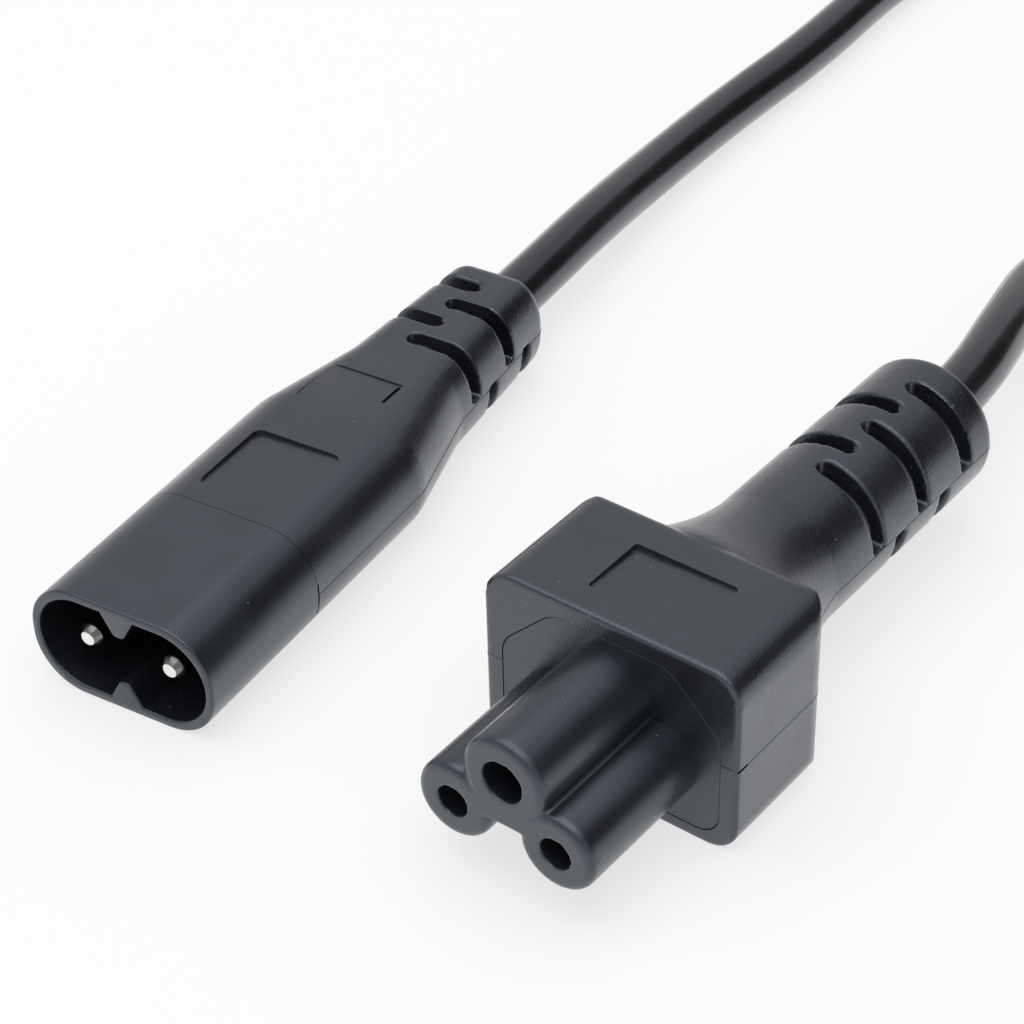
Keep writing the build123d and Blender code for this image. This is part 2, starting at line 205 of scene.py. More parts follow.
def open_for_edit(piece, kind, test):
    """Opens a piece in edit mode and selects its VERT, EDGE or FACE parts that pass a test."""
    bpy.ops.object.select_all(action="DESELECT")
    piece.select_set(True)
    bpy.context.view_layer.objects.active = piece
    bpy.ops.object.mode_set(mode="EDIT")
    bpy.ops.mesh.select_mode(type=kind)
    bpy.ops.mesh.select_all(action="DESELECT")
    shape = bmesh.from_edit_mesh(piece.data)
    for part in {"VERT": shape.verts, "EDGE": shape.edges, "FACE": shape.faces}[kind]:
        part.select_set(test(part))
    bmesh.update_edit_mesh(piece.data)


def open_all(piece):
    """Opens a piece in edit mode with everything selected."""
    open_for_edit(piece, "FACE", lambda face: True)


def close_edit():
    """Back to object mode."""
    bpy.ops.object.mode_set(mode="OBJECT")


def round_edges(piece, radius, test, segments=8):
    """Bevels the edges that pass a test. One segment gives a flat cut instead of a round one."""
    open_for_edit(piece, "EDGE", test)
    bpy.ops.mesh.bevel(offset=radius, segments=segments, affect="EDGES")
    close_edit()


print("selection helpers ready")

# %% Blocks, turned bars, copies and cuts


def block(name, x_range, y_range, z_range):
    """A cube stretched over three ranges."""
    ranges = (x_range, y_range, z_range)
    bpy.ops.object.select_all(action="DESELECT")
    bpy.ops.mesh.primitive_cube_add(size=1, location=[(low + high) / 2 for low, high in ranges])
    piece = bpy.context.object
    piece.name = name
    piece.scale = [high - low for low, high in ranges]
    bpy.ops.object.transform_apply(location=True, rotation=True, scale=True)
    return piece


def turned(name, x, z, rings, sides=96):
    """A round bar along y: a disc is extruded from ring to ring and resized at each."""
    (y, radius), *rest = rings
    bpy.ops.object.select_all(action="DESELECT")
    bpy.ops.mesh.primitive_circle_add(
        vertices=sides,
        radius=radius,
        fill_type="NGON",
        location=(x, y, z),
        rotation=(math.pi / 2, 0, 0),
    )
    piece = bpy.context.object
    piece.name = name
    bpy.ops.object.transform_apply(location=True, rotation=True, scale=True)
    bpy.ops.object.mode_set(mode="EDIT")
    bpy.ops.mesh.select_mode(type="FACE")
    bpy.ops.mesh.select_all(action="SELECT")
    for next_y, next_radius in rest:
        bpy.ops.mesh.extrude_region_move(TRANSFORM_OT_translate={"value": (0, next_y - y, 0)})
        grow = next_radius / radius
        bpy.ops.transform.resize(value=(grow, 1, grow), center_override=(x, next_y, z))
        y, radius = next_y, next_radius
    bpy.ops.mesh.select_all(action="SELECT")
    bpy.ops.mesh.normals_make_consistent(inside=False)
    close_edit()
    return piece


def rounded_end(y, radius, edge, way):
    """The rings of a rounded end at y. A way of 1 rounds a bar's near end, and -1 its far end."""
    steps = 5
    rings = []
    for step in range(steps + 1):
        angle = math.pi / 2 * step / steps
        back = y + way * edge * (1 - math.sin(angle))
        rings.append((back, radius - edge * (1 - math.cos(angle))))
    return rings[::-1] if way > 0 else rings


def copy_of(piece, move):
    """A copy with a mesh of its own, moved by a matrix. A mirrored copy has its faces turned back."""
    twin = piece.copy()
    twin.data = piece.data.copy()
    bpy.context.scene.collection.objects.link(twin)
    twin.data.transform(move)
    if move.determinant() < 0:
        twin.data.flip_normals()
    return twin


def joined(pieces):
    """Several meshes as one object."""
    bpy.ops.object.select_all(action="DESELECT")
    for piece in pieces:
        piece.select_set(True)
    bpy.context.view_layer.objects.active = pieces[0]
    bpy.ops.object.join()
    return pieces[0]


def apply_modifier(piece, kind, **settings):
    """Adds a modifier, sets it and applies it."""
    bpy.ops.object.select_all(action="DESELECT")
    piece.select_set(True)
    bpy.context.view_layer.objects.active = piece
    modifier = piece.modifiers.new(kind.lower(), kind)
    for name, value in settings.items():
        setattr(modifier, name, value)
    bpy.ops.object.modifier_apply(modifier=modifier.name)


def combine(piece, others, operation):
    """Unites the others with a piece, or cuts them out of it, and deletes them."""
    for other in others:
        apply_modifier(piece, "BOOLEAN", operation=operation, solver="EXACT", object=other)
        bpy.data.objects.remove(other)


print("shaping helpers ready")

# %% [markdown]
# ## What makes it look moulded
# No edge of a moulding is sharp: the plastic shrinks back from every corner, and the tool itself has
# small radii. A bevel on each of the hundreds of edges where slots cut a round neck would be fragile.
# A voxel remesh turns the cut solid into small even faces instead, and a few rounds of smoothing give
# every edge the same softness. Seams and label places are crisp, so they are cut only after that. The
# hair line where the two halves of the mould met comes last: three cuts run side by side round the
# piece, and the middle one moves out.

# %% Softening, seams and placing
SHARP_ANGLE = math.radians(40)
HAIR_LINE_PROUD = 0.04
HAIR_LINE_HALF_WIDTH = 0.06


def soften(piece, voxel, rounds):
    """Remeshes a solid into even faces and smooths its edges."""
    apply_modifier(piece, "REMESH", mode="VOXEL", voxel_size=voxel, use_smooth_shade=True)
    apply_modifier(piece, "SMOOTH", factor=0.5, iterations=rounds)


def cut_front_off(piece, y):
    """Cuts off all that lies in front of y, and closes the cut."""
    open_all(piece)
    bpy.ops.mesh.bisect(plane_co=(0, y, 0), plane_no=(0, -1, 0), use_fill=True, clear_outer=True)
    close_edit()


def mould_line(piece, height):
    """A fine raised line round a piece at one height."""
    open_all(piece)
    for z in (height - HAIR_LINE_HALF_WIDTH, height + HAIR_LINE_HALF_WIDTH, height):
        bpy.ops.mesh.select_all(action="SELECT")
        bpy.ops.mesh.bisect(plane_co=(0, 0, z), plane_no=(0, 0, 1))
    bpy.ops.transform.shrink_fatten(value=HAIR_LINE_PROUD)
    close_edit()


def finish_piece(piece, place, slot, *nodes):
    """Takes a piece to its place in metres, and hides the nodes it stands in for."""
    piece.data.transform(place)
    bpy.ops.object.select_all(action="DESELECT")
    piece.select_set(True)
    bpy.context.view_layer.objects.active = piece
    bpy.ops.object.shade_smooth_by_angle(angle=SHARP_ANGLE)
    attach(piece, "root")
    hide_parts(*nodes)
    print(piece.name, "faces:", len(piece.data.polygons))
    return piece


print("softening helpers ready")

# %% [markdown]
# ## Nose and flange of the cloverleaf connector
# The nose is one hard moulding: three round lobes run together, with a flange shaped like the end of a
# house behind them. Two of the holes hold spring contacts, and the middle one is blind. Three turned
# bars and a wedge between them give the form. The lobes are softened on their own, and the flange joins
# them afterwards, because its edge meets the soft plastic in a thin, crisp line.

# %% Nose
HOLE_SPACING = 10.0
EARTH_RISE = 4.65
LOBE_RADIUS = 3.55
EARTH_LOBE_RADIUS = 4.0
LOBE_EDGE = 0.7
NOTCH_TOP = 0.3
HOLE_RADIUS = 1.43
HOLE_MOUTH = 3.0
CONTACT_BORE = 1.84
EARTH_HOLE_RADIUS = 1.88
EARTH_HOLE_DEPTH = 11.5
TAIL_END = 19.5
FLANGE_HALF_WIDTH = 10.7
FLANGE_BOTTOM = -5.75
FLANGE_TOP = 9.3
FLANGE_CUT = 5.1
FLANGE_BOTTOM_RADIUS = 2.2
FLANGE_EASE = 1.1
FLANGE_EDGE = 0.04
FLANGE_SUNK = 0.03
FLANGE_BACK = NOSE_LENGTH + 2.6
HALF_SPACING = HOLE_SPACING / 2
WEDGE_TIP = 0.02
NOSE_VOXEL = 0.16
NOSE_ROUNDS = 6


def house(name, grow, front, back):
    """The flange's form, grown by a clearance: upright sides, cut top corners and round bottom ones."""
    width = FLANGE_HALF_WIDTH + grow
    piece = block(name, (-width, width), (front, back), (FLANGE_BOTTOM - grow, FLANGE_TOP + grow))
    round_edges(piece, FLANGE_CUT, lambda edge: runs_along(edge, 1) and middle(edge).z > 0, 1)
    round_edges(piece, FLANGE_EASE, lambda edge: runs_along(edge, 1) and middle(edge).z > 0, 6)
    round_edges(piece, FLANGE_BOTTOM_RADIUS, lambda edge: runs_along(edge, 1) and middle(edge).z < 0, 8)
    return piece


def nose_form(name, grow):
    """Three lobes and the wedge between them, from the nose's face to the end of the tail."""
    lobes = []
    for x, z, radius in (
        (-HALF_SPACING, 0, LOBE_RADIUS),
        (HALF_SPACING, 0, LOBE_RADIUS),
        (0, EARTH_RISE, EARTH_LOBE_RADIUS),
    ):
        rings = rounded_end(-grow, radius + grow, LOBE_EDGE, 1) + [(TAIL_END + grow, radius + grow)]
        lobes.append(turned(name, x, z, rings))
    sides, depth = (-HALF_SPACING, HALF_SPACING), (-grow, TAIL_END + grow)
    wedge = block(name, sides, depth, (NOTCH_TOP, EARTH_RISE))
    open_for_edit(wedge, "FACE", lambda face: middle(face).z > EARTH_RISE - NEAR)
    bpy.ops.transform.resize(value=(WEDGE_TIP, 1, 1), center_override=(0, 0, EARTH_RISE))
    close_edit()
    nose, *others = lobes
    combine(nose, [*others, wedge], "UNION")
    return nose


def contact_holes(rings):
    """The same hole behind the neutral and the line side."""
    return [turned("hole", x, 0, rings, 64) for x in (-HALF_SPACING, HALF_SPACING)]


carrier = nose_form("cloverleaf_nose", 0)
earth_rings = [(-1, EARTH_HOLE_RADIUS), (EARTH_HOLE_DEPTH, EARTH_HOLE_RADIUS)]
bore_rings = [
    (-1, HOLE_RADIUS),
    (HOLE_MOUTH, HOLE_RADIUS),
    (HOLE_MOUTH + NEAR, CONTACT_BORE),
    (TAIL_END + 1, CONTACT_BORE),
]
holes = [turned("hole", 0, EARTH_RISE, earth_rings, 64), *contact_holes(bore_rings)]
combine(carrier, holes, "DIFFERENCE")
soften(carrier, NOSE_VOXEL, NOSE_ROUNDS)
print("nose:", len(carrier.data.polygons), "faces")

# %% Flange on the nose
flange_front = NOSE_LENGTH + FLANGE_SUNK
flange = house("flange", 0, flange_front, FLANGE_BACK)
on_front = lambda edge: all(corner.co.y < flange_front + NEAR for corner in edge.verts)
round_edges(flange, FLANGE_EDGE, on_front, 1)
flange_bores = contact_holes([(NOSE_LENGTH - 2, CONTACT_BORE), (FLANGE_BACK + 1, CONTACT_BORE)])
combine(flange, flange_bores, "DIFFERENCE")
combine(carrier, [flange], "UNION")
finish_piece(carrier, CONNECTOR_PLACE, "hard_black", "cloverleaf_carrier")

# %% [markdown]
# ## Slots of the strain reliefs
# Both strain reliefs are cut by one kind of slot. It opens to one side, stops just past the middle
# with a round end, and leaves a core of plastic round the cord. The next slot opens to the other side,
# so the relief can bend both ways. Underneath, the sides are swapped. One slot is modelled, and the
# copies are mirrored and moved. The label places are shallow plates with a tilted floor, so that only
# two of their edges show as steps.

# %% Slot cutters
SLOT_WIDTH = 1.75
SLOT_REACH = 12.0
SLOT_ABOVE_SEAM = 0.15
SLOT_END_ROUND = 0.98 * SLOT_WIDTH / 2


def slot_cutters(first, pitch, count, past_middle, core_radius, height, shift):
    """All the slots of one relief as one cutter, which may sit a little to the right or left."""
    half = SLOT_WIDTH / 2
    slot = block("slot", (-past_middle, SLOT_REACH), (-half, half), (SLOT_ABOVE_SEAM, SLOT_REACH))
    round_edges(slot, SLOT_END_ROUND, lambda edge: runs_along(edge, 2) and middle(edge).x < 0, 6)
    core = turned("core", 0, 0, [(-SLOT_WIDTH, core_radius), (SLOT_WIDTH, core_radius)])
    combine(slot, [core], "DIFFERENCE")
    copies = []
    for step in range(count):
        side = 1 if step % 2 == 0 else -1
        for swap in (1, -1):
            turn_over = Matrix.Diagonal((side * swap, 1, swap, 1))
            move = Matrix.Translation((shift, first + step * pitch, height))
            copies.append(copy_of(slot, move @ turn_over))
    bpy.data.objects.remove(slot)
    return joined(copies)


def label_cutter(width, length, corner, deep, shallow, backwards=1):
    """A label's place under z = 0: a plate whose floor falls to the left, and maybe backwards."""
    plate = block("label", (-width / 2, width / 2), (-length / 2, length / 2), (-deep, deep))
    round_edges(plate, corner, lambda edge: runs_along(edge, 2), 4)
    fall = (deep - shallow) / 2
    open_all(plate)
    bpy.ops.mesh.bisect(
        plane_co=(0, 0, -(deep + shallow) / 2),
        plane_no=(-fall / width, backwards * fall / length, 1),
        use_fill=True,
        clear_inner=True,
    )
    close_edit()
    return plate


print("slot and label cutters ready")

# %% [markdown]
# ## Body, neck and strain relief of the cloverleaf connector
# The soft plastic is moulded round the flange, the contacts' tails and the end of the cord in one shot.
# The square body is what three blocks have in common. Each is rounded for one view: from the front, with
# larger radii underneath than on top, from above and from the side. The neck and the strain relief are
# turned, and run out of the body's back in a hollow curve that is wider than it is high. The slots are
# softened with the body. The label, the pocket for the nose's flange and tail, and a small scratch on
# the right front edge are cut crisp after that.

# %% Square body
BODY_HALF_WIDTH = 12.4
BODY_TOP = 11.1
BODY_TOP_CORNER = 2.7
BODY_BOTTOM_CORNER = 2.8
BODY_BACK_EDGE = 1.2
BODY_BACK_CORNER = 3.2
NECK_END = 39.0
FLARE_RADIUS = 8.95
FLARE_WIDER = 0.16
RELIEF_RADIUS = 6.6
RELIEF_EDGE = 1.1

sides = (-BODY_HALF_WIDTH, BODY_HALF_WIDTH)
depth = (NOSE_LENGTH, BODY_BACK)
heights = (-BODY_DROP, BODY_TOP)
at_back = lambda edge: middle(edge).y > BODY_BACK - NEAR
long_top = lambda edge: runs_along(edge, 1) and middle(edge).z > 0
long_bottom = lambda edge: runs_along(edge, 1) and middle(edge).z < -BODY_DROP + NEAR

overmould = block("cloverleaf_body", sides, depth, heights)
round_edges(overmould, BODY_TOP_CORNER, long_top)
round_edges(overmould, BODY_BOTTOM_CORNER, long_bottom)
from_above = block("from_above", sides, depth, (-BODY_DROP - 1, BODY_TOP + 1))
round_edges(from_above, BODY_BACK_CORNER, lambda edge: runs_along(edge, 2) and at_back(edge))
from_the_side = block("from_the_side", (-BODY_HALF_WIDTH - 1, BODY_HALF_WIDTH + 1), depth, heights)
round_edges(from_the_side, BODY_BACK_EDGE, lambda edge: runs_along(edge, 0) and at_back(edge))
combine(overmould, [from_above, from_the_side], "INTERSECT")
print("square body:", len(overmould.data.polygons), "faces")

# %% Neck


def flare_share(y):
    """How far the flare has opened at y: 0 where the neck ends and 1 at the body's back."""
    return max(0.0, (NECK_END - y) / (NECK_END - BODY_BACK))


def flare_radius(y):
    """The hollow curve from the body's back to the relief."""
    return RELIEF_RADIUS + (FLARE_RADIUS - RELIEF_RADIUS) * min(flare_share(y), 1.0) ** 2


flare = [BODY_BACK - BODY_BACK_EDGE + step for step in range(12)]
relief_end = rounded_end(CONNECTOR_END, RELIEF_RADIUS, RELIEF_EDGE, -1)
neck = turned("neck", 0, CONNECTOR_AXIS, [(y, flare_radius(y)) for y in flare] + relief_end)
for y in flare:
    open_for_edit(neck, "VERT", lambda corner: abs(corner.co.y - y) < NEAR)
    wider = 1 + FLARE_WIDER * flare_share(y) ** 2
    bpy.ops.transform.resize(value=(wider, 1, 1), center_override=(0, y, CONNECTOR_AXIS))
    close_edit()
combine(overmould, [neck], "UNION")
print("body and neck:", len(overmould.data.polygons), "faces")

# %% Cuts in the body
LABEL_X = 0.8
LABEL_WIDTH = 10.0
LABEL_LENGTH = 6.7
LABEL_BACK = BODY_BACK - 4.1
LABEL_DEEP = 0.42
LABEL_SHALLOW = 0.06
LABEL_CORNER = 0.3
CORD_HOLE = 2.78
CORD_HOLE_DEPTH = 2.2
CORD_MOUTH = 3.25
CORD_MOUTH_DEPTH = 0.3
CORD_MOUTH_SLOPE = 0.2
FIT = 0.05
BODY_VOXEL = 0.21
BODY_ROUNDS = 4
SCRATCH_HALF = 0.14
SCRATCH_LENGTH = 1.3


def cord_hole(end, height):
    """The hollow at a relief's end where the cord goes in, a little wider at its mouth."""
    rings = [
        (end - CORD_HOLE_DEPTH, CORD_HOLE),
        (end - CORD_MOUTH_DEPTH - CORD_MOUTH_SLOPE, CORD_HOLE),
        (end - CORD_MOUTH_DEPTH, CORD_MOUTH),
        (end + 1, CORD_MOUTH),
    ]
    return turned("cord_hole", 0, height, rings)


label = label_cutter(LABEL_WIDTH, LABEL_LENGTH, LABEL_CORNER, LABEL_DEEP, LABEL_SHALLOW)
label.data.transform(Matrix.Translation((LABEL_X, LABEL_BACK - LABEL_LENGTH / 2, BODY_TOP)))
slots = slot_cutters(
    first=44.1, pitch=3.66, count=5, past_middle=0.75, core_radius=4.3, height=CONNECTOR_AXIS, shift=0.75
)
pocket = house("pocket", FIT, NOSE_LENGTH - 1, FLANGE_BACK + FIT)
combine(overmould, [slots, cord_hole(CONNECTOR_END, CONNECTOR_AXIS)], "DIFFERENCE")
soften(overmould, BODY_VOXEL, BODY_ROUNDS)
scratch = block(
    "scratch",
    (BODY_HALF_WIDTH - SCRATCH_HALF, BODY_HALF_WIDTH + 1),
    (NOSE_LENGTH - 0.5, NOSE_LENGTH + SCRATCH_LENGTH),
    (CONNECTOR_AXIS - SCRATCH_HALF, CONNECTOR_AXIS + SCRATCH_HALF),
)
combine(overmould, [label, pocket, scratch, nose_form("tail", FIT)], "DIFFERENCE")
mould_line(overmould, CONNECTOR_AXIS)
finish_piece(overmould, CONNECTOR_PLACE, "soft_black", "cloverleaf_overmould")

# %% [markdown]
# ## Shell of the two-pin plug
# The front of the plug is a hard shroud with round ends. Its recess is pinched in the middle by two
# ridges, so that only the matching connector goes in. The recess is cut by a block from which the two
# ridges have been taken first. The wall is too thin for a remesh, which would leave its rim ragged, so
# the rim is bevelled. A cut round the walls just behind the bevel keeps the rim's soft shading short.

# %% Plug shell
SHELL_HALF_WIDTH = 9.4
SHELL_HALF_HEIGHT = SHELL_HEIGHT / 2
SHELL_CORNER = 4.95
SHELL_LENGTH = 15.7
RECESS_HALF_WIDTH = 8.65
RECESS_HALF_HEIGHT = 4.6
RECESS_CORNER = 4.55
RECESS_DEPTH = 11.5
RIDGE_TIP = 2.45
RIDGE_FOOT = 3.1
RIDGE_ROUND = 0.5
TAIL_HALF_WIDTH = 7.0
TAIL_HALF_HEIGHT = 3.2
TAIL_CORNER = 1.6
TAIL_LENGTH = 5.8
RIM_EDGE = 0.22
SEAM_GAP = 0.03


def long_block(name, half_width, half_height, corner, front, back):
    """A block along y whose four long edges are rounded."""
    piece = block(name, (-half_width, half_width), (front, back), (-half_height, half_height))
    round_edges(piece, corner, lambda edge: runs_along(edge, 1), 16)
    return piece


def ridge(side):
    """One ridge of the recess: a wedge with a rounded edge."""
    tip = side * RIDGE_TIP
    low, high = sorted((tip, side * (RECESS_HALF_HEIGHT + 1)))
    foot = RIDGE_FOOT / 2 * (RECESS_HALF_HEIGHT + 1 - RIDGE_TIP) / (RECESS_HALF_HEIGHT - RIDGE_TIP)
    wedge = block("ridge", (-foot, foot), (-2, RECESS_DEPTH + 1), (low, high))
    open_for_edit(wedge, "FACE", lambda face: abs(middle(face).z - tip) < NEAR)
    bpy.ops.transform.resize(value=(RIDGE_ROUND / foot, 1, 1), center_override=(0, 0, tip))
    close_edit()
    near_tip = lambda edge: runs_along(edge, 1) and abs(middle(edge).z - tip) < NEAR
    round_edges(wedge, 0.6 * RIDGE_ROUND, near_tip, 4)
    return wedge


def on_rim(edge):
    """Whether an edge lies on the rim and turns a corner there."""
    return edge.calc_face_angle(0) > 1 and all(abs(corner.co.y) < 0.001 for corner in edge.verts)


shell = long_block(
    "plug_shroud", SHELL_HALF_WIDTH, SHELL_HALF_HEIGHT, SHELL_CORNER, 0, SHELL_LENGTH - SEAM_GAP
)
recess = long_block("recess", RECESS_HALF_WIDTH, RECESS_HALF_HEIGHT, RECESS_CORNER, -1, RECESS_DEPTH)
combine(recess, [ridge(1), ridge(-1)], "DIFFERENCE")
combine(shell, [recess], "DIFFERENCE")
round_edges(shell, RIM_EDGE, on_rim, 4)
open_all(shell)
bpy.ops.mesh.bisect(plane_co=(0, 2 * RIM_EDGE, 0), plane_no=(0, 1, 0))
close_edit()
tail_depth = (SHELL_LENGTH - 1, SHELL_LENGTH + TAIL_LENGTH)
tail = long_block("tail", TAIL_HALF_WIDTH, TAIL_HALF_HEIGHT, TAIL_CORNER, *tail_depth)
combine(shell, [tail], "UNION")
finish_piece(shell, PLUG_PLACE, "hard_black", "plug_shell")

# %% [markdown]
# ## Body, taper and strain relief of the two-pin plug
# Behind the shell the soft plastic keeps the same outline, draws in over two soft shoulders, and ends in
# a slotted relief. A block with rounded long edges is extruded backwards section by section, and each
# new section is resized. It starts a little too far forward, and its softened front is cut off, so that
# the join with the shell is crisp. A large label place lies on its level top, and a small one on the
# taper, with a narrow slot at its right edge. A short crack runs down the join on the right.

# %% Plug body
OVERLAP = 1.5
SECTIONS = [
    (32.2, 18.8, 10.9),
    (33.2, 18.55, 10.88),
    (34.4, 17.9, 10.82),
    (42.7, 13.8, 10.28),
    (44.0, 13.2, 10.2),
    (45.6, 12.95, 10.15),
    (60.3, 10.9, 9.82),
    (60.9, 10.5, 9.45),
    (61.2, 9.7, 8.7),
]


def tapered(name, front, sections):
    """The shell's outline from front on, extruded from section to section and resized at each."""
    (y, width, height), *rest = sections
    piece = long_block(name, SHELL_HALF_WIDTH, SHELL_HALF_HEIGHT, SHELL_CORNER, front, y)
    open_for_edit(piece, "FACE", lambda face: middle(face).y > y - 0.001)
    for next_y, next_width, next_height in rest:
        bpy.ops.mesh.extrude_region_move(TRANSFORM_OT_translate={"value": (0, next_y - y, 0)})
        grow = (next_width / width, 1, next_height / height)
        bpy.ops.transform.resize(value=grow, center_override=(0, next_y, 0))
        y, width, height = next_y, next_width, next_height
    close_edit()
    return piece


plug_body = tapered("plug_body", SHELL_LENGTH - OVERLAP, SECTIONS)
print("plug body:", len(plug_body.data.polygons), "faces")

# %% Label places of the plug
PLUG_LABEL_WIDTH = 9.2
PLUG_LABEL_LENGTH = 9.3
PLUG_LABEL_BACK = 27.3
PLUG_LABEL_CORNER = 0.9
SMALL_LABEL_WIDTH = 7.9
SMALL_LABEL_LENGTH = 6.2
SMALL_LABEL_BACK = 39.6
SMALL_LABEL_X = -0.75
SMALL_LABEL_DEEP = 0.16
LABEL_SLOT_SIDES = (2.74, 3.12)
LABEL_SLOT_FLOOR = 4.55
TAPER_SLOPE = 0.35 / 11.0
SHOULDER_END = 33.0

large_label = label_cutter(
    PLUG_LABEL_WIDTH, PLUG_LABEL_LENGTH, PLUG_LABEL_CORNER, LABEL_DEEP, LABEL_SHALLOW
)
large_middle = PLUG_LABEL_BACK - PLUG_LABEL_LENGTH / 2
large_label.data.transform(Matrix.Translation((0, large_middle, SHELL_HALF_HEIGHT)))
plain_label = label_cutter(
    SMALL_LABEL_WIDTH, SMALL_LABEL_LENGTH, LABEL_CORNER, SMALL_LABEL_DEEP, LABEL_SHALLOW, 0
)
small_middle = SMALL_LABEL_BACK - SMALL_LABEL_LENGTH / 2
small_height = SHELL_HALF_HEIGHT - TAPER_SLOPE * (small_middle - SHOULDER_END)
lean = Matrix.Rotation(-math.atan(TAPER_SLOPE), 4, "X") @ Matrix.Diagonal((-1, 1, 1, 1))
small_place = Matrix.Translation((SMALL_LABEL_X, small_middle, small_height))
small_label = copy_of(plain_label, small_place @ lean)
bpy.data.objects.remove(plain_label)
label_slot_depth = (SMALL_LABEL_BACK - 3.2, SMALL_LABEL_BACK - 0.33)
label_slot = block("label_slot", LABEL_SLOT_SIDES, label_slot_depth, (LABEL_SLOT_FLOOR, 6))
print("label cutters:", large_label.name, small_label.name, label_slot.name)

# %% Cuts in the plug body
PLUG_VOXEL = 0.19
PLUG_ROUNDS = 4
PLUG_HAIR_LINE = -0.3
CRACK_DEPTH = 0.9
CRACK_WIDTH = 0.17
CRACK_HEIGHTS = (-2.6, 0.9)

plug_slots = slot_cutters(
    first=47.1, pitch=3.46, count=4, past_middle=0.85, core_radius=3.6, height=0, shift=-0.25
)
combine(plug_body, [plug_slots, cord_hole(PLUG_END, 0)], "DIFFERENCE")
soften(plug_body, PLUG_VOXEL, PLUG_ROUNDS)
cut_front_off(plug_body, SHELL_LENGTH + SEAM_GAP)
tail_front, tail_back = tail_depth
tail_pocket = long_block(
    "pocket", TAIL_HALF_WIDTH + FIT, TAIL_HALF_HEIGHT + FIT, TAIL_CORNER, tail_front, tail_back + FIT
)
crack_sides = (SHELL_HALF_WIDTH - CRACK_DEPTH, SHELL_HALF_WIDTH + 1)
crack = block("crack", crack_sides, (SHELL_LENGTH - 1, SHELL_LENGTH + CRACK_WIDTH), CRACK_HEIGHTS)
combine(plug_body, [large_label, small_label, label_slot, tail_pocket, crack], "DIFFERENCE")
mould_line(plug_body, PLUG_HAIR_LINE)
finish_piece(plug_body, PLUG_PLACE, "soft_black", "plug_overmould")

# %% [markdown]
# ## Pins
# The two pins are turned from brass rod and nickel plated. The tip is cut to a short cone with a flat
# end, and its two corners are broken a little, which is what catches the light.

# %% Pins
PIN_SPACING = 8.6
PIN_RADIUS = 1.2
PIN_TIP_RADIUS = 0.66
PIN_FRONT = 0.95
PIN_CONE = 0.75
PIN_EDGE = 0.12
SHANK_RADIUS = 1.5
SHANK_END = 27.5


def pin(name, x):
    """A pin on its shank, with a cut tip."""
    cone_end = PIN_FRONT + PIN_CONE
    rings = [
        (PIN_FRONT, PIN_TIP_RADIUS),
        (cone_end, PIN_RADIUS),
        (RECESS_DEPTH, PIN_RADIUS),
        (RECESS_DEPTH + NEAR, SHANK_RADIUS),
        (SHANK_END, SHANK_RADIUS),
    ]
    piece = turned(name, x, 0, rings, 64)
    on_tip = lambda edge: edge.calc_face_angle(0) > 0.3 and middle(edge).y < cone_end + NEAR
    round_edges(piece, PIN_EDGE, on_tip, 3)
    return piece


for node, x in (("line_pin", PIN_SPACING / 2), ("neutral_pin", -PIN_SPACING / 2)):
    finish_piece(pin(node.replace("pin", "prong"), x), PLUG_PLACE, "pin_metal", node)

# %% [markdown]
# ## Table and light
# Dark satin plastic shows what it mirrors more than its own colour. The photograph's tops are a calm
# grey and its lower right flanks are pale, because they mirror a white room and a white table. Between
# them runs a nearly black band, so something dark stood behind to the right. A black card stands there
# here too. Only reflections show it: it takes no light away and throws no shadow. The room's light is
# pale and even, and one soft lamp overhead gives it a direction.

# %% Table and light
FLOOR_SIZE = 6.0
MIDDLE = (-0.02, 0.02, 0.005)
ROOM_GREY = 0.55
LAMP = {"spot": (-0.05, -0.1, 1.1), "size": 1.4, "power": 8.2}
CARD = {"spot": (0.80, 0.80, 0.42), "width": 2.0, "height": 0.86}
scene = bpy.context.scene
scene.view_settings.view_transform = "Standard"


def make_floor():
    """A wide table under the lead."""
    bpy.ops.object.select_all(action="DESELECT")
    bpy.ops.mesh.primitive_plane_add(size=FLOOR_SIZE, location=(0, 0, 0))
    floor = bpy.context.object
    floor.name = "table"
    return floor


def soft_lamp(name, spot, size, power):
    """A square area lamp that points at the middle of the lead."""
    bpy.ops.object.light_add(type="AREA", location=spot)
    lamp = bpy.context.object
    lamp.name = name
    lamp.data.size = size
    lamp.data.energy = power
    lamp.rotation_euler = (Vector(MIDDLE) - Vector(spot)).to_track_quat("-Z", "Y").to_euler()
    return lamp


def black_card(name, spot, width, height):
    """A dark upright card that faces the lead, and that only reflections show."""
    bpy.ops.object.select_all(action="DESELECT")
    bpy.ops.mesh.primitive_plane_add(size=1, location=spot)
    card = bpy.context.object
    card.name = name
    card.scale = (width, height, 1)
    card.rotation_euler = (Vector(MIDDLE) - Vector(spot)).to_track_quat("Z", "Y").to_euler()
    for kind in ("camera", "diffuse", "transmission", "shadow"):
        setattr(card, f"visible_{kind}", False)
    return card


floor = make_floor()
card = black_card("black_card", **CARD)
soft_lamp("top_window", **LAMP)

# %% [markdown]
# ## Shader maths as plain expressions
# A finish is easiest to read as arithmetic. Value wraps a socket, so that adding or multiplying two of
# them adds the Math node. Finish makes the material, and its node method adds any other node.

# %% Value and Finish


